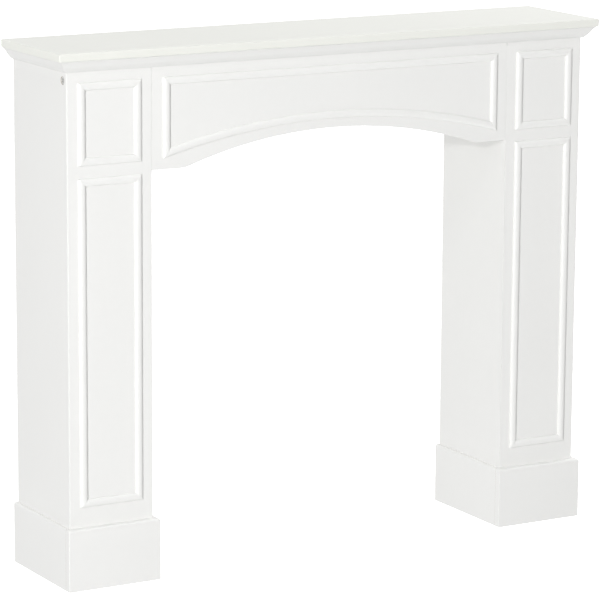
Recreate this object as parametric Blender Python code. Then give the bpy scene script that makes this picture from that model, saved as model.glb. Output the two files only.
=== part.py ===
"""Fireplace mantelpiece: white painted boards, with a moulded shelf, an arched frieze and two panelled legs.

Metres, +Z up. X runs along the shelf and the front faces -Y. The origin is on the floor, under the middle of
the shelf. The legs are open at the back, which stands against the chimney breast.
"""

import math

import bmesh
import bpy
from mathutils import Matrix, Vector

# Overall sizes
HEIGHT = 1.020
LEGS_WIDTH = 1.136
LEG_WIDTH = 0.175
LEG_DEPTH = 0.228

# Boards
BOARD = 0.015
LEG_OUTER_EASE = 0.0025
LEG_INNER_EASE = 0.0006

# Shelf and the moulding under it
SHELF_OVERHANG = 0.0255
SHELF_EASE = 0.002
CROWN_HEIGHT = 0.023
CROWN_PROJECTION = 0.0215
CROWN_NIB = 0.0045
CROWN_NIB_HEIGHT = 0.0012
CROWN_FILLET = 0.002
CROWN_LIP = 0.0015
CROWN_TURN = (0.0130, 0.0108)
CROWN_SAG = 0.0003

# Frieze
FRIEZE_END_HEIGHT = 0.788
ARCH_RISE = 0.0535
ARCH_HALF_SPAN = 0.322
ARCH_KINK_RADIUS = 0.040
FRIEZE_EASE = 0.0012

# Panel mouldings, applied to the boards
MOULDING_WIDTH = 0.015
MOULDING_RELIEF = 0.006
MOULDING_EDGE = 0.0008
LEG_PANEL_MARGIN = 0.022
PANEL_TOP_MARGIN = 0.020
LEG_UPPER_PANEL = 0.155
LEG_PANEL_SPACING = 0.0235
LEG_PANEL_BOTTOM_MARGIN = 0.0385
FRIEZE_PANEL_MARGIN = 0.023
FRIEZE_PANEL_LOWER_MARGIN = 0.0176
FRIEZE_PANEL_RISE = 0.0505

# Plinth
PLINTH_HEIGHT = 0.1195
PLINTH_FRONT = 0.015
PLINTH_SIDE = 0.009
PLINTH_ROUND = 0.004
PLINTH_OUTER_EASE = 0.0015
PLINTH_INNER_EASE = 0.0006

# Cam disc let into the outer side of each leg
CAM_RADIUS = 0.0073
CAM_THICKNESS = 0.0022
CAM_SETBACK = 0.0155
CAM_DROP = 0.016
CAM_SLOT_WIDTH = 0.0021
CAM_SLOT_LENGTH = 0.0098
CAM_SLOT_DEPTH = 0.0012
POCKET_DEPTH = 0.0028

# Clearance between pieces that touch, and the share of it that each side of a mitre gives
GAP = 0.0003
MITRE_GAP = GAP / math.sqrt(2)

# How finely the curves are cut
EASE_STEPS = 3
FRIEZE_EASE_STEPS = 2
CROWN_STEPS = 5
MOULDING_STEPS = 10
ARCH_STEPS = 36
KINK_STEPS = 4
ROUND_STEPS = 4
DISC_STEPS = 32
SHARP_ANGLE = math.radians(28)

# Finishes
WHITE_PAINT = (0.83, 0.83, 0.81, 1.0)
PAINT_ROUGHNESS = 0.35
ZINC = (0.62, 0.62, 0.60, 1.0)
ZINC_ROUGHNESS = 0.4
ZINC_METALLIC = 1.0

# Places worked out from the sizes

HALF_LEGS = LEGS_WIDTH / 2
HALF_OPENING = HALF_LEGS - LEG_WIDTH
BACK_Y = (LEG_DEPTH + SHELF_OVERHANG) / 2
FRONT_Y = BACK_Y - LEG_DEPTH
PLINTH_FACE = FRONT_Y - GAP - PLINTH_FRONT
SHELF_UNDERSIDE = HEIGHT - BOARD
CROWN_BOTTOM = SHELF_UNDERSIDE - CROWN_HEIGHT
BOARD_TOP = SHELF_UNDERSIDE - GAP
ARCH_TOP = FRIEZE_END_HEIGHT + ARCH_RISE
SIDES = {"left": -1, "right": 1}


def clear_scene():
    for obj in list(bpy.data.objects):
        bpy.data.objects.remove(obj, do_unlink=True)


def finish_material(name, colour, roughness, metallic=0.0):
    material = bpy.data.materials.new(name)
    material.use_nodes = True
    shader = material.node_tree.nodes["Principled BSDF"]
    shader.inputs["Base Color"].default_value = colour
    shader.inputs["Roughness"].default_value = roughness
    shader.inputs["Metallic"].default_value = metallic
    material.diffuse_color = colour
    return material


def add_object(name, bm, colour=WHITE_PAINT, roughness=PAINT_ROUGHNESS, metallic=0.0):
    """Turns a closed bmesh into a named object with a material of its own."""
    bmesh.ops.recalc_face_normals(bm, faces=bm.faces)
    mesh = bpy.data.meshes.new(name)
    bm.to_mesh(mesh)
    bm.free()
    mesh.shade_smooth()
    mesh.set_sharp_from_angle(angle=SHARP_ANGLE)
    mesh.materials.append(finish_material(name + "_finish", colour, roughness, metallic))
    obj = bpy.data.objects.new(name, mesh)
    bpy.context.scene.collection.objects.link(obj)
    return obj


def loft(sections):
    """A closed body through outlines that have the same number of points, with a flat cap at each end."""
    bm = bmesh.new()
    rings = [[bm.verts.new(point) for point in section] for section in sections]
    count = len(rings[0])
    for ring, following in zip(rings, rings[1:]):
        for i in range(count):
            j = (i + 1) % count
            bm.faces.new((ring[i], ring[j], following[j], following[i]))
    bm.faces.new(reversed(rings[0]))
    bm.faces.new(rings[-1])
    return bm


def box(low, high):
    """A closed box between two corners."""
    corners = [(low.x, low.y), (high.x, low.y), (high.x, high.y), (low.x, high.y)]
    return loft([[Vector((x, y, z)) for x, y in corners] for z in (low.z, high.z)])


def round_edges(bm, chosen, radius, steps=ROUND_STEPS):
    """Rounds the straight edges whose two ends both satisfy one of the given tests."""
    edges = [e for e in bm.edges if any(all(test(v.co) for v in e.verts) for test in chosen)]
    bmesh.ops.bevel(
        bm, geom=edges, offset=radius, offset_type="OFFSET", segments=steps, profile=0.5, affect="EDGES"
    )


def near(a, b):
    return abs(a - b) < 1e-6


def arc_points(centre, radius, start, steps=EASE_STEPS, sweep=math.pi / 4):
    """Points of an arc round a centre in a plane, from the start angle through the sweep."""
    return [
        (centre[0] + radius * math.cos(a), centre[1] + radius * math.sin(a))
        for a in (start + sweep * i / steps for i in range(steps + 1))
    ]


def bulged_line(start, end, sag, steps):
    """Points along a shallow arc from start to end, which stands off to the right of a line by sag."""
    along = Vector(end) - Vector(start)
    across = Vector((along.y, -along.x)).normalized()
    return [
        tuple(Vector(start) + along * t + across * sag * 4 * t * (1 - t))
        for t in (i / steps for i in range(steps + 1))
    ]


def crown_profile():
    """Projection and height of the shelf moulding: a nib, a splay that turns once, and a top fillet."""
    foot = (CROWN_NIB, CROWN_NIB_HEIGHT)
    lip = (CROWN_PROJECTION - CROWN_LIP, CROWN_HEIGHT - CROWN_FILLET)
    belly = bulged_line(foot, CROWN_TURN, CROWN_SAG, CROWN_STEPS)
    hollow = bulged_line(CROWN_TURN, lip, -CROWN_SAG, CROWN_STEPS)
    top = CROWN_HEIGHT - GAP
    return [
        (GAP, 0.0),
        (CROWN_NIB, 0.0),
        *belly,
        *hollow[1:],
        (CROWN_PROJECTION, CROWN_HEIGHT - CROWN_FILLET),
        (CROWN_PROJECTION, top),
        (GAP, top),
    ]


def moulding_profile():
    """Distance across and height of a panel moulding: a low edge on each side of a rounded back."""
    middle = MOULDING_WIDTH / 2
    crown = MOULDING_RELIEF - MOULDING_EDGE
    back = [
        (middle - middle * math.cos(a), MOULDING_EDGE + crown * math.sin(a))
        for a in (math.pi * i / MOULDING_STEPS for i in range(MOULDING_STEPS + 1))
    ]
    return [(0.0, GAP), *back, (MOULDING_WIDTH, GAP)]


def flat_arc(half_span, rise, top):
    """Radius and centre height of the circle with this rise over this half span and this top."""
    radius = (half_span**2 + rise**2) / (2 * rise)
    return radius, top - radius


def frieze_lower_edge():
    """The lower edge from left to right: flat, an eased turn, the arch, an eased turn and flat."""
    radius, centre = flat_arc(ARCH_HALF_SPAN, ARCH_RISE, ARCH_TOP)
    turn_centre = FRIEZE_END_HEIGHT + ARCH_KINK_RADIUS
    reach = math.sqrt((radius + ARCH_KINK_RADIUS) ** 2 - (turn_centre - centre) ** 2)
    lean = math.atan2(reach, turn_centre - centre)
    turn = arc_points((-reach, turn_centre), ARCH_KINK_RADIUS, -math.pi / 2, KINK_STEPS, lean)
    arch = [
        (radius * math.sin(a), centre + radius * math.cos(a))
        for a in (-lean + 2 * lean * i / ARCH_STEPS for i in range(ARCH_STEPS + 1))
    ]
    mirrored_turn = [(-x, z) for x, z in reversed(turn)]
    return turn + arch[1:-1] + mirrored_turn


def make_shelf():
    half = HALF_LEGS + SHELF_OVERHANG
    bm = box(Vector((-half, -BACK_Y, SHELF_UNDERSIDE)), Vector((half, BACK_Y, HEIGHT)))
    shelf = add_object("shelf_board", bm)
    ease = shelf.modifiers.new("eased_edges", "BEVEL")
    ease.width = SHELF_EASE
    ease.segments = EASE_STEPS
    ease.limit_method = "ANGLE"


def make_crown():
    """The moulding under the shelf: one length across the front and a mitred return on each end."""
    profile = crown_profile()
    ends = []
    for side in SIDES.values():
        reach = [HALF_LEGS + p - MITRE_GAP for p, _ in profile]
        ends.append([Vector((side * x, FRONT_Y - p, CROWN_BOTTOM + h)) for x, (p, h) in zip(reach, profile)])
    add_object("crown_moulding_front", loft(ends))
    for name, side in SIDES.items():
        mitre = [
            Vector((side * (HALF_LEGS + p), FRONT_Y - p + MITRE_GAP, CROWN_BOTTOM + h)) for p, h in profile
        ]
        square = [Vector((side * (HALF_LEGS + p), BACK_Y, CROWN_BOTTOM + h)) for p, h in profile]
        add_object(f"crown_moulding_{name}", loft([mitre, square]))


def make_frieze():
    """The arched board between the legs, flush with their fronts."""
    end = HALF_OPENING - GAP
    outline = [(-end, FRIEZE_END_HEIGHT), *frieze_lower_edge(), (end, FRIEZE_END_HEIGHT)]
    outline += [(end, BOARD_TOP), (-end, BOARD_TOP)]
    front, back = FRONT_Y, FRONT_Y + BOARD
    bm = loft([[Vector((x, y, z)) for x, z in outline] for y in (front, back)])
    round_edges(bm, [lambda co: near(co.y, front) and co.z < ARCH_TOP + GAP], FRIEZE_EASE, FRIEZE_EASE_STEPS)
    add_object("frieze_board", bm)


def make_panel_frame(prefix, left, right, top, floor):
    """Four mitred lengths of panel moulding. floor gives the lower edge's height at x and an offset."""
    profile = moulding_profile()

    def point(x, z, h):
        return Vector((x, FRONT_Y - h, z))

    def upright(edge, inward):
        low = [point(edge + inward * u, floor(edge + inward * u, u) + MITRE_GAP, h) for u, h in profile]
        high = [point(edge + inward * u, top - u - MITRE_GAP, h) for u, h in profile]
        return loft([low, high])

    def across(height, steps):
        sections = []
        spans = [(left + u + MITRE_GAP, right - u - MITRE_GAP) for u, _ in profile]
        for i in range(steps + 1):
            xs = [a + (b - a) * i / steps for a, b in spans]
            sections.append([point(x, height(x, u), h) for x, (u, h) in zip(xs, profile)])
        return loft(sections)

    arched = abs(floor(left, 0.0) - floor((left + right) / 2, 0.0)) > GAP
    add_object(f"{prefix}_moulding_left", upright(left, 1))
    add_object(f"{prefix}_moulding_right", upright(right, -1))
    add_object(f"{prefix}_moulding_top", across(lambda x, u: top - u, 1))
    add_object(f"{prefix}_moulding_bottom", across(floor, ARCH_STEPS if arched else 1))


def make_frieze_panel():
    """One large frame on the frieze, with an arched foot a little flatter than the board's own arch."""
    half = HALF_OPENING - FRIEZE_PANEL_MARGIN
    radius, centre = flat_arc(half, FRIEZE_PANEL_RISE, ARCH_TOP + FRIEZE_PANEL_LOWER_MARGIN)

    def floor(x, offset):
        return centre + math.sqrt((radius + offset) ** 2 - x**2)

    make_panel_frame("frieze_panel", -half, half, CROWN_BOTTOM - PANEL_TOP_MARGIN, floor)


def make_leg_panels(name, low_x, high_x):
    """An upper and a lower panel frame on the front of a leg."""
    left, right = low_x + LEG_PANEL_MARGIN, high_x - LEG_PANEL_MARGIN
    upper_top = CROWN_BOTTOM - PANEL_TOP_MARGIN
    upper_bottom = upper_top - LEG_UPPER_PANEL
    lower_top = upper_bottom - LEG_PANEL_SPACING
    lower_bottom = PLINTH_HEIGHT + LEG_PANEL_BOTTOM_MARGIN
    make_panel_frame(f"{name}_leg_upper_panel", left, right, upper_top, lambda x, u: upper_bottom + u)
    make_panel_frame(f"{name}_leg_lower_panel", left, right, lower_top, lambda x, u: lower_bottom + u)


def upright_board(name, plan):
    """A board that stands from the floor to the shelf on a plan outline."""
    return add_object(name, loft([[Vector((x, y, z)) for x, y in plan] for z in (0.0, BOARD_TOP)]))


def make_leg_boards(name, side):
    """Front and two sides of a leg, mitred at the front corners and open at the back."""
    inner, outer = side * HALF_OPENING, side * HALF_LEGS

    def front_corner(x, inward, radius):
        """From the straight of the front to the middle of the eased corner, then along the mitre."""
        arc = arc_points((radius, radius), radius, -math.pi / 2, sweep=-math.pi / 4)
        mitre = [(arc[-1][0] + MITRE_GAP, arc[-1][1]), (BOARD + MITRE_GAP, BOARD)]
        return [(x + inward * u, FRONT_Y + v) for u, v in arc[:-1] + mitre]

    def side_board(x, inward, radius):
        """From the back along the outer face to the middle of the eased corner, then back along the mitre."""
        arc = arc_points((radius, radius), radius, -math.pi)
        mitre = [(arc[-1][0], arc[-1][1] + MITRE_GAP), (BOARD, BOARD + MITRE_GAP)]
        corner = [(x + inward * u, FRONT_Y + v) for u, v in arc[:-1] + mitre]
        return [(x, BACK_Y), *corner, (x + inward * BOARD, BACK_Y)]

    front = front_corner(outer, -side, LEG_OUTER_EASE)
    front += list(reversed(front_corner(inner, side, LEG_INNER_EASE)))
    upright_board(f"{name}_leg_front_board", front)
    outer_board = upright_board(f"{name}_leg_outer_side_board", side_board(outer, -side, LEG_OUTER_EASE))
    upright_board(f"{name}_leg_inner_side_board", side_board(inner, side, LEG_INNER_EASE))
    return outer_board


def disc(radius, low, high):
    """A round disc about Z, between two heights."""
    angles = [2 * math.pi * i / DISC_STEPS for i in range(DISC_STEPS)]
    circle = [(radius * math.cos(a), radius * math.sin(a)) for a in angles]
    return loft([[Vector((x, y, z)) for x, y in circle] for z in (low, high)])


def add_cutter(name, bm, target):
    """Cuts the target with a body that stays out of sight."""
    cutter = add_object(name, bm)
    cutter.hide_render = True
    cutter.display_type = "WIRE"
    cut = target.modifiers.new(name, "BOOLEAN")
    cut.operation = "DIFFERENCE"
    cut.object = cutter
    return cutter


def make_cam(name, side, outer_board):
    """A slotted cam disc in a shallow round pocket, flush with the outer side of the leg."""
    place = Vector((side * HALF_LEGS, FRONT_Y + CAM_SETBACK, CROWN_BOTTOM - CAM_DROP))
    outward = Matrix.Translation(place) @ Matrix.Rotation(side * math.pi / 2, 4, "Y")
    hole = disc(CAM_RADIUS + GAP, -POCKET_DEPTH, POCKET_DEPTH)
    pocket = add_cutter(f"{name}_cam_pocket", hole, outer_board)
    pocket.matrix_world = outward
    back = GAP - POCKET_DEPTH
    face = back + CAM_THICKNESS
    blank = disc(CAM_RADIUS, back, face)
    cam = add_object(f"{name}_leg_cam_disc", blank, ZINC, ZINC_ROUGHNESS, ZINC_METALLIC)
    cam.matrix_world = outward
    for i in range(2):
        half = Vector((CAM_SLOT_LENGTH / 2, CAM_SLOT_WIDTH / 2, CAM_SLOT_DEPTH))
        slot = add_cutter(f"{name}_cam_slot_{i + 1}", box(-half, half), cam)
        turn = Matrix.Rotation(math.pi / 4 + i * math.pi / 2, 4, "Z")
        slot.matrix_world = outward @ Matrix.Translation((0, 0, face)) @ turn


def plinth_plan(low_x, high_x, inset, left_ease, right_ease):
    """Plan of a plinth's front board, drawn in by inset from its front and ends, with eased front corners."""
    left, right, front, back = low_x + inset, high_x - inset, PLINTH_FACE + inset, FRONT_Y - GAP
    turn = math.pi / 2
    left_arc = arc_points((left + left_ease, front + left_ease), left_ease, math.pi, sweep=turn)
    right_arc = arc_points((right - right_ease, front + right_ease), right_ease, -turn, sweep=turn)
    return [(left, back), *left_arc, *right_arc, (right, back)]


def make_plinth(name, side):
    """Boards round the foot of a leg: one in front, with a rounded top, and one on each side behind it."""
    ends = [
        (side * (HALF_OPENING - PLINTH_SIDE), PLINTH_INNER_EASE),
        (side * (HALF_LEGS + PLINTH_SIDE), PLINTH_OUTER_EASE),
    ]
    (low_x, left_ease), (high_x, right_ease) = sorted(ends)
    levels = [(0.0, 0.0)]
    for i in range(ROUND_STEPS + 1):
        a = math.pi / 2 * i / ROUND_STEPS
        levels.append((PLINTH_ROUND * (1 - math.cos(a)), PLINTH_HEIGHT - PLINTH_ROUND * (1 - math.sin(a))))
    sections = []
    for inset, z in levels:
        plan = plinth_plan(low_x, high_x, inset, left_ease, right_ease)
        sections.append([Vector((x, y, z)) for x, y in plan])
    add_object(f"{name}_plinth_front_board", loft(sections))
    make_plinth_side(f"{name}_plinth_outer_board", side * HALF_LEGS, side)
    make_plinth_side(f"{name}_plinth_inner_board", side * HALF_OPENING, -side)


def make_plinth_side(name, leg_x, outward):
    """A plinth board on the side of a leg, rounded along its top, away from the leg."""
    near_x, far_x = leg_x + outward * GAP, leg_x + outward * PLINTH_SIDE
    low = Vector((min(near_x, far_x), FRONT_Y, 0.0))
    high = Vector((max(near_x, far_x), BACK_Y, PLINTH_HEIGHT))
    bm = box(low, high)
    round_edges(bm, [lambda co: near(co.z, PLINTH_HEIGHT) and near(co.x, far_x)], PLINTH_ROUND)
    add_object(name, bm)


def make_leg(name, side):
    outer_board = make_leg_boards(name, side)
    make_cam(name, side, outer_board)
    low_x, high_x = sorted((side * HALF_OPENING, side * HALF_LEGS))
    make_leg_panels(name, low_x, high_x)
    make_plinth(name, side)


def build():
    clear_scene()
    make_shelf()
    make_crown()
    make_frieze()
    make_frieze_panel()
    for name, side in SIDES.items():
        make_leg(name, side)


build()
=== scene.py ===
"""Fireplace mantelpiece: smooth pieces and their finishes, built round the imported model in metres.

X runs along the shelf, the front faces -Y and Z is up. Each piece stands where its node stands: the boards
and mouldings are made again with finer curves, and every joint is closed down to the hairline that paint
leaves.
"""

import math

import bmesh
import bpy
from mathutils import Matrix, Vector


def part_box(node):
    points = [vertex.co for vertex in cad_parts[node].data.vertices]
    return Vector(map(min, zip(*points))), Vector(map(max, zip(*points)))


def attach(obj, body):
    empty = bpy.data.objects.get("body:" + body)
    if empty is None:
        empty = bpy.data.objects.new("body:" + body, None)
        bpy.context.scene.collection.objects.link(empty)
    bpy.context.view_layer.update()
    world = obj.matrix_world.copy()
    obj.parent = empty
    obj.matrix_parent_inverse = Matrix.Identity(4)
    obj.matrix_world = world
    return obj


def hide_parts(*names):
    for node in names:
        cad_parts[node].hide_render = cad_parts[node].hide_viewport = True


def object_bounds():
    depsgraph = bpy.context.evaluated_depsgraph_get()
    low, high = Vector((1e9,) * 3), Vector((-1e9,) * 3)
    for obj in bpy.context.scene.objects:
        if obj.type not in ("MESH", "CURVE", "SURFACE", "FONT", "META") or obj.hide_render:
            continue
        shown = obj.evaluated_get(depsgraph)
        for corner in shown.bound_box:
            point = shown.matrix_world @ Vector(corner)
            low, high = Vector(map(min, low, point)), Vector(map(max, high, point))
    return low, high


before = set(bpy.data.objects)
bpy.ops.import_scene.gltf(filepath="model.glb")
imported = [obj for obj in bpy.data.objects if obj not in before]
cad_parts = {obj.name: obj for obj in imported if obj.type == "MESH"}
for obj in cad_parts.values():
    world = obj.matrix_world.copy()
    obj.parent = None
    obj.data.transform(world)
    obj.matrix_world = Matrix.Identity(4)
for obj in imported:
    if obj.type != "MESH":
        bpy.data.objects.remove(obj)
CAD_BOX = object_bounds()

# Camera, at the photograph's viewing angle
CAMERA_PLACE = Vector((-3.2312, -5.5991, 1.8209))
CAMERA_HEADING = math.radians(29.875)
CAMERA_DIP = math.radians(11.677)
CAMERA_ROLL = math.radians(0.358)
CAMERA_LENS = 201.78
CAMERA_SENSOR = 36.0
CAMERA_REACH = 100.0

# Places read from the frame
SHELF_LOW, SHELF_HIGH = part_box("shelf_board")
FRIEZE_LOW, FRIEZE_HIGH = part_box("frieze_board")
CROWN_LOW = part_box("crown_moulding_front")[0]
HALF_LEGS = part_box("right_leg_outer_side_board")[1].x
HALF_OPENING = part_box("right_leg_inner_side_board")[0].x
FRONT_Y = FRIEZE_LOW.y
BACK_Y = SHELF_HIGH.y
BOARD = FRIEZE_HIGH.y - FRIEZE_LOW.y
SIDES = {"left": -1, "right": 1}

# Joints: the hairline that paint leaves between two pieces, its share on each side of a mitre, and the wider
# line of the plinths' butt joints
HAIRLINE = 0.00005
MITRE_HAIRLINE = 0.00008
PLINTH_HAIRLINE = 0.0002

# Roundings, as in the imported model, and of the boards' back edges
SHELF_EASE = 0.002
LEG_OUTER_EASE = 0.0025
LEG_INNER_EASE = 0.0006
FRIEZE_EASE = 0.0012
PLINTH_ROUND = 0.004
PLINTH_OUTER_EASE = 0.0015
PLINTH_INNER_EASE = 0.0006
BACK_EASE = 0.0006

# Moulding under the shelf
CROWN_NIB = 0.0045
CROWN_NIB_HEIGHT = 0.0012
CROWN_FILLET = 0.002
CROWN_LIP = 0.0015
CROWN_TURN = (0.0130, 0.0108)
CROWN_SAG = 0.0003

# Arch of the frieze
ARCH_RISE = 0.0535
ARCH_HALF_SPAN = 0.322
ARCH_KINK_RADIUS = 0.040

# Chip in the end of the frieze, just under the shelf moulding
CHIP_WIDTH = 0.0009
CHIP_HEIGHT = 0.007
CHIP_DEPTH = 0.0012

# Panel moulding
MOULDING_EDGE = 0.0008

# Cam disc and the pocket that it sits in
CAM_CHAMFER = 0.0005
CAM_RIM = 0.0011
CAM_DISH = 0.0004
CAM_SLOT_WIDTH = 0.0021
CAM_SLOT_LENGTH = 0.0098
CAM_SLOT_DEPTH = 0.0012
POCKET_CLEARANCE = 0.0003
POCKET_DEPTH = 0.0028

# How finely the curves are cut
EASE_STEPS = 8
BACK_EASE_STEPS = 3
CROWN_STEPS = 20
MOULDING_STEPS = 28
ARCH_STEPS = 120
KINK_STEPS = 16
DISC_STEPS = 96
SHARP_ANGLE = math.radians(32)

# Limits for telling one vertex or one side of a piece from another
SAME_PLACE = 0.00002
FACING = 0.9

# Colours of the paint, of the painted shade and painted highlight laid on it, and of what shows through
WHITE = (0.773, 0.773, 0.759)
SHELF_WHITE = (0.762, 0.768, 0.724)
# The crown's paint is the same white, darkened as painted shade for its downward tilt.
CROWN_SHADED_WHITE = (0.757, 0.757, 0.743)
EDGE_HIGHLIGHT_WHITE = (0.87, 0.865, 0.84)
CREASE_SHADE_COLOUR = (0.42, 0.40, 0.36)
PRIMER_COLOURS = ((0.72, 0.71, 0.68), (0.77, 0.765, 0.74))
FIBRE_FLECK = (0.55, 0.49, 0.40)
BARE_BOARD_COLOURS = ((0.26, 0.18, 0.11), (0.42, 0.31, 0.20))
ZINC_COLOURS = ((0.62, 0.62, 0.60), (0.76, 0.76, 0.74))
ZINC_CREASE_SHADE = (0.25, 0.245, 0.24)
PURE_WHITE = (1.0, 1.0, 1.0, 1.0)

# Gloss of the coats, as roughness
SATIN = 0.36
BOARD_SATIN = 0.38
MOULDING_SATIN = 0.42
UNEVEN_GLOSS = 0.035
PRIMER_MATT = (0.62, 0.78)
BARE_BOARD_MATT = (0.75, 0.95)
ZINC_DULL = (0.38, 0.55)
ZINC_METALLIC = 0.5

# How the paint varies: its tone, the share of slow drift in that, and how much painted fill light whitens
# covered places
UNEVEN_TONE = (0.985, 1.012)
DRIFT_SHARE = 0.6
FILL_LIGHT_LIFT = 0.075

# Painted shade in the creases and the creases' dullness, and how much painted highlight lightens the arrises
CREASE_SHADE_SHARE = 0.02
CREASE_DULLNESS = 0.05
EDGE_HIGHLIGHT_SHARE = 0.12
FLECK_SHARE = 0.35

# How far the painted highlight, painted shade and painted fill light reach, and with how many samples they
# are found
CREASE_REACH = 0.006
ZINC_CREASE_REACH = 0.0015
FILL_LIGHT_REACH = 0.04
EDGE_HIGHLIGHT_RADIUS = 0.0012
OCCLUSION_SAMPLES = 8
BEVEL_SAMPLES = 6

# Noises of the paint, of the primer, of cut board and of cast metal, by waves a metre
DRIFT = {"scale": 3.5, "detail": 2.0}
MOTTLE = {"scale": 60.0, "detail": 4.0, "roughness": 0.6}
GRAIN = {"scale": 620.0, "detail": 2.0}
PEEL = {"scale": 140.0, "detail": 1.0}
CLOUDS = {"scale": 7.0, "detail": 3.0}
PRIMED_FIBRES = {"scale": 420.0, "detail": 6.0, "roughness": 0.7}
CUT_FIBRES = {"scale": 900.0, "detail": 5.0, "roughness": 0.7}
CAST_SKIN = {"scale": 900.0, "detail": 4.0, "roughness": 0.6}

# Reliefs, and the weight of the orange-peel beside the grain
PAINT_RELIEF = {"strength": 0.2, "distance": 0.00006}
PRIMER_RELIEF = {"strength": 0.5, "distance": 0.0001}
BOARD_RELIEF = {"strength": 0.8, "distance": 0.0001}
ZINC_RELIEF = {"strength": 0.5, "distance": 0.00008}
PEEL_WEIGHT = 1.6

# Spans of a noise or a mask that are stretched to the whole of a mix
NOISE_SPAN = (0.3, 0.7)
BOARD_NOISE_SPAN = (0.35, 0.65)
FLECK_SPAN = (0.60, 0.74)
CREASE_SPAN = (0.35, 0.85)
FILL_LIGHT_SPAN = (0.05, 0.55)
EDGE_SPAN = (0.995, 0.90)

# Softboxes, by degrees round and above the middle, metres and watts. One is kept out of reflections.
SOFTBOXES = {
    "key_softbox": {"azimuth": -45, "elevation": 16, "distance": 12.0, "size": 0.5, "power": 284},
    "low_softbox": {"azimuth": -46, "elevation": 7, "distance": 12.0, "size": 0.9, "power": 724},
    "high_softbox": {"azimuth": -40, "elevation": 45, "distance": 12.0, "size": 3.0, "power": 85},
    "near_softbox": {"azimuth": -43, "elevation": 20, "distance": 4.0, "size": 1.5, "power": 14.3},
    "shelf_softbox": {"azimuth": 110, "elevation": 30, "distance": 3.0, "size": 1.2, "power": 28.3},
}
UNREFLECTED = "shelf_softbox"

# Light from each side of the dome, by axis and direction, and the background that the camera sees
DOME = [("Z", 1, 0.895), ("Z", -1, 1.204), ("Y", 1, 0.479), ("X", 1, 0.558)]
BACKDROP_STRENGTH = 1.1

# Floor
FLOOR_REACH = 40.0
FLOOR_DROP = 0.0003
FLOOR_WHITE = (0.9, 0.9, 0.9)
FLOOR_ROUGHNESS = 0.9
FLOOR_SPECULAR = 0.1
FLOOR_GLOW = 0.55


def near_to(a, b):
    """Whether two coordinates are the same, apart from rounding."""
    return abs(a - b) < SAME_PLACE


def loft(sections):
    """A closed body through outlines that have the same number of points, with a flat cap at each end."""
    bm = bmesh.new()
    rings = [[bm.verts.new(point) for point in section] for section in sections]
    count = len(rings[0])
    for ring, following in zip(rings, rings[1:]):
        for i in range(count):
            j = (i + 1) % count
            bm.faces.new((ring[i], ring[j], following[j], following[i]))
    bm.faces.new(reversed(rings[0]))
    bm.faces.new(rings[-1])
    bmesh.ops.recalc_face_normals(bm, faces=bm.faces)
    return bm


def box(low, high):
    """A closed box between two corners."""
    corners = [(low.x, low.y), (high.x, low.y), (high.x, high.y), (low.x, high.y)]
    return loft([[Vector((x, y, z)) for x, y in corners] for z in (low.z, high.z)])


def ease(bm, width, chosen, steps=EASE_STEPS):
    """Rounds the edges whose two ends both satisfy one of the given tests."""
    edges = [e for e in bm.edges if any(all(test(v.co) for v in e.verts) for test in chosen)]
    bmesh.ops.bevel(
        bm, geom=edges, offset=width, offset_type="OFFSET", segments=steps, profile=0.5, affect="EDGES"
    )


def arc_points(centre, radius, start, sweep, steps=EASE_STEPS):
    """Points of an arc round a centre in a plane, from the start angle through the sweep."""
    angles = (start + sweep * i / steps for i in range(steps + 1))
    return [(centre[0] + radius * math.cos(a), centre[1] + radius * math.sin(a)) for a in angles]


def finish_piece(bm, node, material, second=None, second_on=None):
    """Turns a bmesh into a node's piece. Faces that pass second_on get the second material."""
    mesh = bpy.data.meshes.new(node + "_finished")
    bmesh.ops.recalc_face_normals(bm, faces=bm.faces)
    if second:
        for face in bm.faces:
            face.material_index = 1 if second_on(face) else 0
    bm.to_mesh(mesh)
    bm.free()
    mesh.shade_smooth()
    mesh.set_sharp_from_angle(angle=SHARP_ANGLE)
    mesh.materials.append(material)
    if second:
        mesh.materials.append(second)
    piece = bpy.data.objects.new(node + "_finished", mesh)
    bpy.context.scene.collection.objects.link(piece)
    flatten = piece.modifiers.new("even_faces", "WEIGHTED_NORMAL")
    flatten.keep_sharp = True
    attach(piece, "root")
    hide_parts(node)
    return piece


def faces_wall(face):
    """Whether a face is turned to the wall, at the back."""
    return face.normal.y > FACING


# Materials


def add_node(tree, kind, **values):
    """A shader node, with values for its inputs by name (an underscore stands for a space)."""
    node = tree.nodes.new(kind)
    for name, value in values.items():
        node.inputs[name.replace("_", " ")].default_value = value
    return node


def add_noise(tree, place, scale, detail, roughness=0.5):
    node = add_node(tree, "ShaderNodeTexNoise", Scale=scale, Detail=detail, Roughness=roughness)
    tree.links.new(place, node.inputs["Vector"])
    return node.outputs["Fac"]


def map_range(tree, source, span, result=(0.0, 1.0)):
    """The source, stretched so that its span fills the result."""
    node = add_node(
        tree, "ShaderNodeMapRange", From_Min=span[0], From_Max=span[1], To_Min=result[0], To_Max=result[1]
    )
    tree.links.new(source, node.inputs["Value"])
    return node.outputs["Result"]


def calculate(tree, operation, first, second):
    """A math node on two sockets or numbers."""
    node = tree.nodes.new("ShaderNodeMath")
    node.operation = operation
    for socket, value in zip(node.inputs, (first, second)):
        if isinstance(value, bpy.types.NodeSocket):
            tree.links.new(value, socket)
        else:
            socket.default_value = value
    return node.outputs["Value"]


def mix_colour(tree, factor, first, second):
    """A colour between two, each a socket or a plain colour."""
    node = tree.nodes.new("ShaderNodeMix")
    node.data_type = "RGBA"
    tree.links.new(factor, node.inputs["Factor"])
    for socket, value in ((node.inputs["A"], first), (node.inputs["B"], second)):
        if isinstance(value, bpy.types.NodeSocket):
            tree.links.new(value, socket)
        else:
            socket.default_value = (*value, 1.0)
    return node.outputs["Result"]


def shade(colour, amount):
    """A colour made darker or lighter by an amount."""
    return tuple(c * amount for c in colour)


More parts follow.
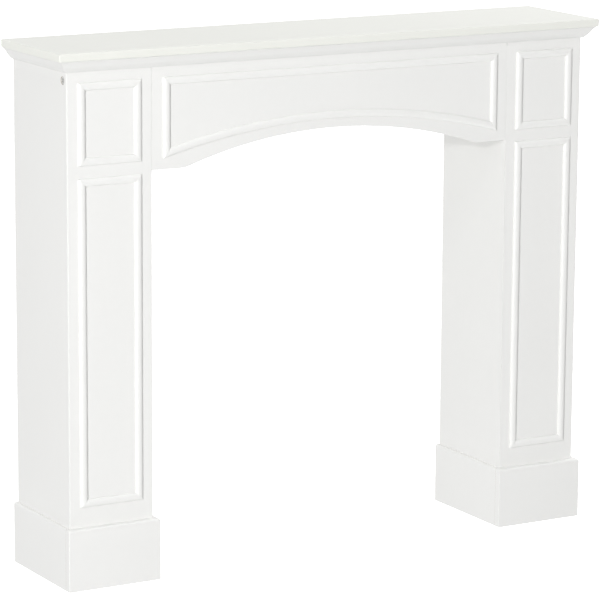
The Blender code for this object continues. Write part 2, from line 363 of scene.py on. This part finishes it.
def add_occlusion(tree, reach):
    """A node that tells how open a place is, within a reach."""
    occlusion = add_node(tree, "ShaderNodeAmbientOcclusion", Distance=reach)
    occlusion.samples = OCCLUSION_SAMPLES
    return occlusion


def crease_mask(tree, reach):
    """1 in the corners where two surfaces meet, 0 in the open."""
    occlusion = add_occlusion(tree, reach)
    return map_range(tree, occlusion.outputs["AO"], CREASE_SPAN, (1.0, 0.0))


def fill_light_mask(tree, reach):
    """1 close under something that covers a surface from above, 0 in the open: where painted fill light
    whitens the paint.
    """
    upward = add_node(tree, "ShaderNodeCombineXYZ", Z=1.0)
    occlusion = add_occlusion(tree, reach)
    tree.links.new(upward.outputs["Vector"], occlusion.inputs["Normal"])
    return map_range(tree, occlusion.outputs["AO"], FILL_LIGHT_SPAN, (1.0, 0.0))


def edge_mask(tree, radius):
    """1 on the outer arrises, 0 on the flat."""
    bevel = add_node(tree, "ShaderNodeBevel", Radius=radius)
    bevel.samples = BEVEL_SAMPLES
    true = tree.nodes.new("ShaderNodeNewGeometry")
    dot = tree.nodes.new("ShaderNodeVectorMath")
    dot.operation = "DOT_PRODUCT"
    tree.links.new(bevel.outputs["Normal"], dot.inputs[0])
    tree.links.new(true.outputs["Normal"], dot.inputs[1])
    return map_range(tree, dot.outputs["Value"], EDGE_SPAN)


def start_material(name):
    """A new material, its node tree, its shader and the coordinates of the piece that wears it."""
    material = bpy.data.materials.new(name)
    material.use_nodes = True
    tree = material.node_tree
    place = tree.nodes.new("ShaderNodeTexCoord").outputs["Object"]
    return material, tree, tree.nodes["Principled BSDF"], place


def add_relief(tree, shader, height, strength, distance):
    """Raises the surface by a height, in the light alone."""
    bump = add_node(tree, "ShaderNodeBump", Strength=strength, Distance=distance)
    tree.links.new(height, bump.inputs["Height"])
    tree.links.new(bump.outputs["Normal"], shader.inputs["Normal"])


def paint(name, colour=WHITE, roughness=SATIN, fill_lift=FILL_LIGHT_LIFT):
    """Satin white paint, slightly uneven, with painted fill light under cover, painted shade in the corners
    and painted highlight on the arrises.
    """
    material, tree, shader, place = start_material(name)

    drift = add_noise(tree, place, **DRIFT)
    mottle = add_noise(tree, place, **MOTTLE)
    slow = calculate(tree, "MULTIPLY", drift, DRIFT_SHARE)
    quick = calculate(tree, "MULTIPLY", mottle, 1.0 - DRIFT_SHARE)
    uneven = map_range(tree, calculate(tree, "ADD", slow, quick), NOISE_SPAN)
    coat = mix_colour(tree, uneven, *(shade(colour, tone) for tone in UNEVEN_TONE))
    # Painted light: places covered from above are whitened, to lift the shade that falls there.
    fill_lit = mix_colour(tree, fill_light_mask(tree, FILL_LIGHT_REACH), coat, shade(colour, 1.0 + fill_lift))
    creases = crease_mask(tree, CREASE_REACH)
    # Painted shade: the creases are darkened towards a dusty grey.
    crease_shaded = mix_colour(tree, calculate(tree, "MULTIPLY", creases, CREASE_SHADE_SHARE), fill_lit, CREASE_SHADE_COLOUR)
    # Painted highlight: the arrises are lightened towards a brighter white.
    edges = edge_mask(tree, EDGE_HIGHLIGHT_RADIUS)
    highlighted = mix_colour(tree, calculate(tree, "MULTIPLY", edges, EDGE_HIGHLIGHT_SHARE), crease_shaded, EDGE_HIGHLIGHT_WHITE)
    tree.links.new(highlighted, shader.inputs["Base Color"])

    gloss = map_range(tree, mottle, NOISE_SPAN, (roughness - UNEVEN_GLOSS, roughness + UNEVEN_GLOSS))
    gloss = calculate(tree, "ADD", gloss, calculate(tree, "MULTIPLY", creases, CREASE_DULLNESS))
    tree.links.new(gloss, shader.inputs["Roughness"])

    grain = add_noise(tree, place, **GRAIN)
    peel = add_noise(tree, place, **PEEL)
    surface = calculate(tree, "ADD", grain, calculate(tree, "MULTIPLY", peel, PEEL_WEIGHT))
    add_relief(tree, shader, surface, **PAINT_RELIEF)
    return material


def primer(name):
    """The thin matt coat on the hidden faces, with the board's fibres showing through."""
    material, tree, shader, place = start_material(name)
    clouds = add_noise(tree, place, **CLOUDS)
    fibres = add_noise(tree, place, **PRIMED_FIBRES)
    coat = mix_colour(tree, map_range(tree, clouds, NOISE_SPAN), *PRIMER_COLOURS)
    flecks = map_range(tree, fibres, FLECK_SPAN, (0.0, FLECK_SHARE))
    tree.links.new(mix_colour(tree, flecks, coat, FIBRE_FLECK), shader.inputs["Base Color"])
    tree.links.new(map_range(tree, fibres, NOISE_SPAN, PRIMER_MATT), shader.inputs["Roughness"])
    add_relief(tree, shader, fibres, **PRIMER_RELIEF)
    return material


def bare_board(name):
    """Cut fibreboard, as in the wall of the cam's pocket and inside the plinths' butt joints."""
    material, tree, shader, place = start_material(name)
    fibres = add_noise(tree, place, **CUT_FIBRES)
    colour = mix_colour(tree, map_range(tree, fibres, BOARD_NOISE_SPAN), *BARE_BOARD_COLOURS)
    tree.links.new(colour, shader.inputs["Base Color"])
    tree.links.new(map_range(tree, fibres, NOISE_SPAN, BARE_BOARD_MATT), shader.inputs["Roughness"])
    add_relief(tree, shader, fibres, **BOARD_RELIEF)
    return material


def zinc(name):
    """Cast zinc with a dull plated skin, and painted shade that darkens its creases."""
    material, tree, shader, place = start_material(name)
    shader.inputs["Metallic"].default_value = ZINC_METALLIC
    cast = add_noise(tree, place, **CAST_SKIN)
    creases = crease_mask(tree, ZINC_CREASE_REACH)
    skin = mix_colour(tree, map_range(tree, cast, NOISE_SPAN), *ZINC_COLOURS)
    # Painted shade: the disc's creases and slots are darkened.
    tree.links.new(mix_colour(tree, creases, skin, ZINC_CREASE_SHADE), shader.inputs["Base Color"])
    tree.links.new(map_range(tree, cast, NOISE_SPAN, ZINC_DULL), shader.inputs["Roughness"])
    add_relief(tree, shader, cast, **ZINC_RELIEF)
    return material


SHELF_PAINT = paint("shelf_satin_white", SHELF_WHITE)
# Painted shade: the crown's white is darker, and it gets no painted fill light.
CROWN_SHADED_PAINT = paint("crown_shaded_satin_white", CROWN_SHADED_WHITE, fill_lift=0.0)
FRIEZE_PAINT = paint("frieze_satin_white", roughness=BOARD_SATIN)
LEG_PAINT = paint("leg_satin_white", roughness=BOARD_SATIN)
MOULDING_PAINT = paint("panel_moulding_satin_white", roughness=MOULDING_SATIN)
PLINTH_PAINT = paint("plinth_satin_white")
PRIMER = primer("primed_hidden_faces")
BARE_BOARD = bare_board("bare_fibreboard")
ZINC = zinc("plated_zinc")


# Pieces


def make_shelf():
    bm = box(SHELF_LOW, SHELF_HIGH)
    ease(bm, SHELF_EASE, [lambda co: True])
    finish_piece(bm, "shelf_board", SHELF_PAINT)


def bulged_line(start, end, sag):
    """Points from start to end along a shallow arc that stands off the straight line by sag, to its right."""
    along = Vector(end) - Vector(start)
    across = Vector((along.y, -along.x)).normalized()
    shares = (i / CROWN_STEPS for i in range(CROWN_STEPS + 1))
    return [tuple(Vector(start) + along * t + across * sag * 4 * t * (1 - t)) for t in shares]


def crown_profile():
    """Projection and height of the shelf moulding: a nib, a splay that turns once, and a top fillet."""
    projection = FRONT_Y - CROWN_LOW.y
    height = SHELF_LOW.z - CROWN_LOW.z
    foot = (CROWN_NIB, CROWN_NIB_HEIGHT)
    lip = (projection - CROWN_LIP, height - CROWN_FILLET)
    belly = bulged_line(foot, CROWN_TURN, CROWN_SAG)
    hollow = bulged_line(CROWN_TURN, lip, -CROWN_SAG)
    top = height - HAIRLINE
    return [
        (HAIRLINE, 0.0),
        (CROWN_NIB, 0.0),
        *belly,
        *hollow[1:],
        (projection, height - CROWN_FILLET),
        (projection, top),
        (HAIRLINE, top),
    ]


def make_crown():
    """The moulding under the shelf: one length across the front and a mitred return on each end."""
    profile = crown_profile()
    bottom = CROWN_LOW.z
    ends = [
        [Vector((side * (HALF_LEGS + p - MITRE_HAIRLINE), FRONT_Y - p, bottom + h)) for p, h in profile]
        for side in SIDES.values()
    ]
    finish_piece(loft(ends), "crown_moulding_front", CROWN_SHADED_PAINT)
    for name, side in SIDES.items():
        mitre = [
            Vector((side * (HALF_LEGS + p), FRONT_Y - p + MITRE_HAIRLINE, bottom + h)) for p, h in profile
        ]
        square = [Vector((side * (HALF_LEGS + p), BACK_Y, bottom + h)) for p, h in profile]
        finish_piece(loft([mitre, square]), f"crown_moulding_{name}", CROWN_SHADED_PAINT)


def frieze_lower_edge():
    """The lower edge from left to right: flat, an eased turn, the arch, an eased turn and flat."""
    radius = (ARCH_HALF_SPAN**2 + ARCH_RISE**2) / (2 * ARCH_RISE)
    centre = FRIEZE_LOW.z + ARCH_RISE - radius
    turn_centre = FRIEZE_LOW.z + ARCH_KINK_RADIUS
    reach = math.sqrt((radius + ARCH_KINK_RADIUS) ** 2 - (turn_centre - centre) ** 2)
    lean = math.atan2(reach, turn_centre - centre)
    turn = arc_points((-reach, turn_centre), ARCH_KINK_RADIUS, -math.pi / 2, lean, KINK_STEPS)
    arch = [
        (radius * math.sin(a), centre + radius * math.cos(a))
        for a in (-lean + 2 * lean * i / ARCH_STEPS for i in range(ARCH_STEPS + 1))
    ]
    return turn + arch[1:-1] + [(-x, z) for x, z in reversed(turn)]


def make_frieze():
    """The arched board between the legs, flush with their fronts."""
    end = HALF_OPENING - HAIRLINE
    outline = [(-end, FRIEZE_LOW.z), *frieze_lower_edge(), (end, FRIEZE_LOW.z)]
    outline += [(end, FRIEZE_HIGH.z), (-end, FRIEZE_HIGH.z)]
    front, back = FRONT_Y, FRONT_Y + BOARD
    arch_top = FRIEZE_LOW.z + ARCH_RISE
    bm = loft([[Vector((x, y, z)) for x, z in outline] for y in (front, back)])
    ease(bm, FRIEZE_EASE, [lambda co: near_to(co.y, front) and co.z < arch_top + HAIRLINE])
    board = finish_piece(bm, "frieze_board", FRIEZE_PAINT, PRIMER, faces_wall)
    chip = box(
        Vector((end - CHIP_WIDTH, front - CHIP_DEPTH, CROWN_LOW.z - CHIP_HEIGHT)),
        Vector((end + CHIP_WIDTH, front + CHIP_DEPTH, CROWN_LOW.z + CHIP_WIDTH)),
    )
    add_cutter("frieze_end_chip", chip, board, Matrix.Identity(4))


def moulding_profile(width, relief):
    """Distance across and height of a panel moulding: a low edge on each side of a rounded back."""
    middle = width / 2
    crown = relief - MOULDING_EDGE
    back = [
        (middle - middle * math.cos(a), MOULDING_EDGE + crown * math.sin(a))
        for a in (math.pi * i / MOULDING_STEPS for i in range(MOULDING_STEPS + 1))
    ]
    return [(0.0, HAIRLINE), *back, (width, HAIRLINE)]


def make_panel_frame(prefix):
    """Four mitred lengths of panel moulding, round the box that their nodes fill. A risen foot is an arc."""
    left_low, left_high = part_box(f"{prefix}_moulding_left")
    left, right = left_low.x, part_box(f"{prefix}_moulding_right")[1].x
    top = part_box(f"{prefix}_moulding_top")[1].z
    bottom_low, bottom_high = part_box(f"{prefix}_moulding_bottom")
    width = left_high.x - left_low.x
    profile = moulding_profile(width, FRONT_Y - left_low.y)
    rise = bottom_high.z - bottom_low.z - width
    arched = rise > width
    half = bottom_high.x
    radius = (half**2 + rise**2) / (2 * rise) if arched else 0.0

    def point(x, z, h):
        return Vector((x, FRONT_Y - h, z))

    def foot(x, u):
        if not arched:
            return bottom_low.z + u
        return bottom_high.z - width - radius + math.sqrt((radius + u) ** 2 - x**2)

    def upright(edge, inward):
        low = [point(edge + inward * u, foot(edge + inward * u, u) + MITRE_HAIRLINE, h) for u, h in profile]
        high = [point(edge + inward * u, top - u - MITRE_HAIRLINE, h) for u, h in profile]
        return loft([low, high])

    def across(height, steps):
        sections = []
        spans = [(left + u + MITRE_HAIRLINE, right - u - MITRE_HAIRLINE) for u, _ in profile]
        for i in range(steps + 1):
            xs = [a + (b - a) * i / steps for a, b in spans]
            sections.append([point(x, height(x, u), h) for x, (u, h) in zip(xs, profile)])
        return loft(sections)

    lengths = {
        "left": upright(left, 1),
        "right": upright(right, -1),
        "top": across(lambda x, u: top - u, 1),
        "bottom": across(foot, ARCH_STEPS if arched else 1),
    }
    for place, bm in lengths.items():
        finish_piece(bm, f"{prefix}_moulding_{place}", MOULDING_PAINT)


def upright_board(node, plan, hidden):
    """A board that stands on a plan outline, primed on its hidden faces and eased along its back."""
    low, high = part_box(node)
    bm = loft([[Vector((x, y, z)) for x, y in plan] for z in (low.z, high.z)])
    ease(bm, BACK_EASE, [lambda co: near_to(co.y, BACK_Y)], steps=BACK_EASE_STEPS)
    return finish_piece(bm, node, LEG_PAINT, PRIMER, hidden)


def make_leg_boards(name, side):
    """Front and two sides of a leg, mitred at the front corners and open at the back."""
    inner, outer = side * HALF_OPENING, side * HALF_LEGS

    def front_corner(x, inward, radius):
        """From the straight of the front to the middle of the eased corner, then along the mitre."""
        arc = arc_points((radius, radius), radius, -math.pi / 2, -math.pi / 4)
        mitre = [(arc[-1][0] + MITRE_HAIRLINE, arc[-1][1]), (BOARD + MITRE_HAIRLINE, BOARD)]
        return [(x + inward * u, FRONT_Y + v) for u, v in arc[:-1] + mitre]

    def side_board(x, inward, radius):
        """From the back along the outer face to the middle of the eased corner, then back along the mitre."""
        arc = arc_points((radius, radius), radius, -math.pi, math.pi / 4)
        mitre = [(arc[-1][0], arc[-1][1] + MITRE_HAIRLINE), (BOARD, BOARD + MITRE_HAIRLINE)]
        corner = [(x + inward * u, FRONT_Y + v) for u, v in arc[:-1] + mitre]
        return [(x, BACK_Y), *corner, (x + inward * BOARD, BACK_Y)]

    front = front_corner(outer, -side, LEG_OUTER_EASE)
    front += list(reversed(front_corner(inner, side, LEG_INNER_EASE)))
    upright_board(f"{name}_leg_front_board", front, faces_wall)
    outer_board = upright_board(
        f"{name}_leg_outer_side_board",
        side_board(outer, -side, LEG_OUTER_EASE),
        lambda face: face.normal.x * side < -FACING,
    )
    upright_board(
        f"{name}_leg_inner_side_board",
        side_board(inner, side, LEG_INNER_EASE),
        lambda face: face.normal.x * side > FACING,
    )
    return outer_board


def turned(profile):
    """A closed body turned about Z from radius and height pairs that start and end on the axis."""
    bm = bmesh.new()
    rings = []
    for radius, height in profile[1:-1]:
        angles = (2 * math.pi * i / DISC_STEPS for i in range(DISC_STEPS))
        rings.append([bm.verts.new((radius * math.cos(a), radius * math.sin(a), height)) for a in angles])
    for ring, following in zip(rings, rings[1:]):
        for i in range(DISC_STEPS):
            j = (i + 1) % DISC_STEPS
            bm.faces.new((ring[i], ring[j], following[j], following[i]))
    bm.faces.new(reversed(rings[0]))
    bm.faces.new(rings[-1])
    bmesh.ops.recalc_face_normals(bm, faces=bm.faces)
    return bm


def add_cutter(name, bm, target, place, material=None):
    """Cuts the target with a body, and then takes the body away."""
    mesh = bpy.data.meshes.new(name)
    bm.to_mesh(mesh)
    bm.free()
    if material:
        mesh.materials.append(material)
    cutter = bpy.data.objects.new(name, mesh)
    cutter.matrix_world = place
    bpy.context.scene.collection.objects.link(cutter)
    cut = target.modifiers.new(name, "BOOLEAN")
    cut.operation = "DIFFERENCE"
    cut.object = cutter
    cut.material_mode = "TRANSFER" if material else "INDEX"
    bpy.context.view_layer.update()
    with bpy.context.temp_override(object=target):
        bpy.ops.object.modifier_move_to_index(modifier=name, index=0)
        bpy.ops.object.modifier_apply(modifier=name)
    bpy.data.objects.remove(cutter, do_unlink=True)


def make_cam(name, side, outer_board):
    """A slotted cam disc in a shallow round pocket, flush with the outer side of the leg."""
    node = f"{name}_leg_cam_disc"
    low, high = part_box(node)
    radius = (high.z - low.z) / 2
    thickness = high.x - low.x
    face = (high.x if side > 0 else -low.x) - HALF_LEGS
    place = Vector((side * HALF_LEGS, (low.y + high.y) / 2, (low.z + high.z) / 2))
    outward = Matrix.Translation(place) @ Matrix.Rotation(side * math.pi / 2, 4, "Y")
    pocket_radius = radius + POCKET_CLEARANCE
    pocket = turned(
        [(0, -POCKET_DEPTH), (pocket_radius, -POCKET_DEPTH), (pocket_radius, POCKET_DEPTH), (0, POCKET_DEPTH)]
    )
    add_cutter(f"{name}_cam_pocket", pocket, outer_board, outward, BARE_BOARD)
    back = face - thickness
    disc = turned(
        [
            (0, back),
            (radius, back),
            (radius, face - CAM_CHAMFER),
            (radius - CAM_CHAMFER, face),
            (radius - CAM_RIM, face),
            (radius - CAM_RIM - CAM_DISH, face - CAM_DISH),
            (0, face - CAM_DISH),
        ]
    )
    bmesh.ops.transform(disc, matrix=outward, verts=disc.verts)
    cam = finish_piece(disc, node, ZINC)
    for i in range(2):
        half = Vector((CAM_SLOT_LENGTH / 2, CAM_SLOT_WIDTH / 2, CAM_SLOT_DEPTH))
        turn = Matrix.Rotation(math.pi / 4 + i * math.pi / 2, 4, "Z")
        place = outward @ Matrix.Translation((0, 0, face)) @ turn
        add_cutter(f"{name}_cam_slot_{i + 1}", box(-half, half), cam, place)


def plinth_plan(low, high, inset, left_ease, right_ease):
    """Plan of a plinth's front board, drawn in by inset from its front and ends, with eased front corners."""
    left, right, front, back = low.x + inset, high.x - inset, low.y + inset, FRONT_Y - HAIRLINE
    turn = math.pi / 2
    left_arc = arc_points((left + left_ease, front + left_ease), left_ease, math.pi, turn)
    right_arc = arc_points((right - right_ease, front + right_ease), right_ease, -turn, turn)
    return [(left, back), *left_arc, *right_arc, (right, back)]


def make_plinth(name, side):
    """Boards round the foot of a leg: one in front, with a rounded top, and one on each side behind it."""
    node = f"{name}_plinth_front_board"
    low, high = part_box(node)
    eases = (PLINTH_INNER_EASE, PLINTH_OUTER_EASE) if side > 0 else (PLINTH_OUTER_EASE, PLINTH_INNER_EASE)
    levels = [(0.0, low.z)]
    for i in range(EASE_STEPS + 1):
        a = math.pi / 2 * i / EASE_STEPS
        levels.append((PLINTH_ROUND * (1 - math.cos(a)), high.z - PLINTH_ROUND * (1 - math.sin(a))))
    sections = [[Vector((x, y, z)) for x, y in plinth_plan(low, high, inset, *eases)] for inset, z in levels]
    finish_piece(loft(sections), node, PLINTH_PAINT, PRIMER, faces_wall)
    make_plinth_side(f"{name}_plinth_outer_board", side * HALF_LEGS, side)
    make_plinth_side(f"{name}_plinth_inner_board", side * HALF_OPENING, -side)


def make_plinth_side(node, leg_x, outward):
    """A plinth board on the side of a leg, rounded along its top, with its end bare inside the butt joint."""
    low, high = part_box(node)
    far_x = high.x if outward > 0 else low.x
    near_x = leg_x + outward * HAIRLINE
    front = low.y - HAIRLINE + PLINTH_HAIRLINE
    bm = box(Vector((min(near_x, far_x), front, low.z)), Vector((max(near_x, far_x), high.y, high.z)))
    ease(bm, PLINTH_ROUND, [lambda co: near_to(co.z, high.z) and near_to(co.x, far_x)])
    finish_piece(bm, node, PLINTH_PAINT, BARE_BOARD, lambda face: face.normal.y < -FACING)


def make_pieces():
    make_shelf()
    make_crown()
    make_frieze()
    make_panel_frame("frieze_panel")
    for name, side in SIDES.items():
        outer_board = make_leg_boards(name, side)
        make_cam(name, side, outer_board)
        make_panel_frame(f"{name}_leg_upper_panel")
        make_panel_frame(f"{name}_leg_lower_panel")
        make_plinth(name, side)


# Studio


def add_camera():
    data = bpy.data.cameras.new("camera")
    data.lens = CAMERA_LENS
    data.sensor_width = CAMERA_SENSOR
    data.clip_end = CAMERA_REACH
    camera = bpy.data.objects.new("camera", data)
    heading = Matrix.Rotation(-CAMERA_HEADING, 4, "Z")
    dip = Matrix.Rotation(math.pi / 2 - CAMERA_DIP, 4, "X")
    roll = Matrix.Rotation(CAMERA_ROLL, 4, "Z")
    camera.matrix_world = Matrix.Translation(CAMERA_PLACE) @ heading @ dip @ roll
    bpy.context.scene.collection.objects.link(camera)
    bpy.context.scene.camera = camera


def add_softbox(name, azimuth, elevation, distance, size, power):
    """A square softbox that faces the middle of the piece. Azimuth 0 is in front and 90 on the right."""
    a = math.radians(azimuth)
    e = math.radians(elevation)
    outward = Vector((math.sin(a) * math.cos(e), -math.cos(a) * math.cos(e), math.sin(e)))
    middle = (CAD_BOX[0] + CAD_BOX[1]) / 2
    data = bpy.data.lights.new(name, "AREA")
    data.shape = "SQUARE"
    data.size = size
    data.energy = power
    light = bpy.data.objects.new(name, data)
    light.location = middle + outward * distance
    light.rotation_euler = outward.to_track_quat("Z", "Y").to_euler()
    light.visible_camera = False
    light.visible_glossy = name != UNREFLECTED
    bpy.context.scene.collection.objects.link(light)


def add_floor():
    """A wide pale floor, a hair below the plinths."""
    bm = bmesh.new()
    bmesh.ops.create_grid(bm, x_segments=4, y_segments=4, size=FLOOR_REACH)
    mesh = bpy.data.meshes.new("studio_floor")
    bm.to_mesh(mesh)
    bm.free()
    material = bpy.data.materials.new("studio_floor_white")
    material.use_nodes = True
    shader = material.node_tree.nodes["Principled BSDF"]
    shader.inputs["Base Color"].default_value = (*FLOOR_WHITE, 1.0)
    shader.inputs["Roughness"].default_value = FLOOR_ROUGHNESS
    shader.inputs["Specular IOR Level"].default_value = FLOOR_SPECULAR
    shader.inputs["Emission Color"].default_value = PURE_WHITE
    shader.inputs["Emission Strength"].default_value = FLOOR_GLOW
    mesh.materials.append(material)
    floor = bpy.data.objects.new("studio_floor", mesh)
    floor.location.z = CAD_BOX[0].z - FLOOR_DROP
    floor.visible_diffuse = False
    floor.visible_glossy = False
    bpy.context.scene.collection.objects.link(floor)


def add_world(dome):
    """Soft light from all round, by the strength of each side of the dome, behind a white background."""
    world = bpy.data.worlds.new("studio")
    bpy.context.scene.world = world
    world.use_nodes = True
    tree = world.node_tree
    direction = tree.nodes.new("ShaderNodeTexCoord").outputs["Generated"]
    parts = tree.nodes.new("ShaderNodeSeparateXYZ")
    tree.links.new(direction, parts.inputs["Vector"])
    strength = 0.0
    for axis, towards, amount in dome:
        side = map_range(tree, parts.outputs[axis], (0.0, towards), (0.0, amount))
        strength = calculate(tree, "ADD", side, strength)
    ambient = tree.nodes["Background"]
    ambient.inputs["Color"].default_value = PURE_WHITE
    tree.links.new(strength, ambient.inputs["Strength"])
    white = add_node(tree, "ShaderNodeBackground", Color=PURE_WHITE, Strength=BACKDROP_STRENGTH)
    path = tree.nodes.new("ShaderNodeLightPath")
    choice = tree.nodes.new("ShaderNodeMixShader")
    tree.links.new(path.outputs["Is Camera Ray"], choice.inputs["Fac"])
    tree.links.new(ambient.outputs["Background"], choice.inputs[1])
    tree.links.new(white.outputs["Background"], choice.inputs[2])
    tree.links.new(choice.outputs["Shader"], tree.nodes["World Output"].inputs["Surface"])


def make_studio():
    view = bpy.context.scene.view_settings
    view.view_transform = "Standard"
    view.look = "None"
    add_camera()
    add_floor()
    add_world(DOME)
    for name, values in SOFTBOXES.items():
        add_softbox(name, **values)


make_pieces()
make_studio()
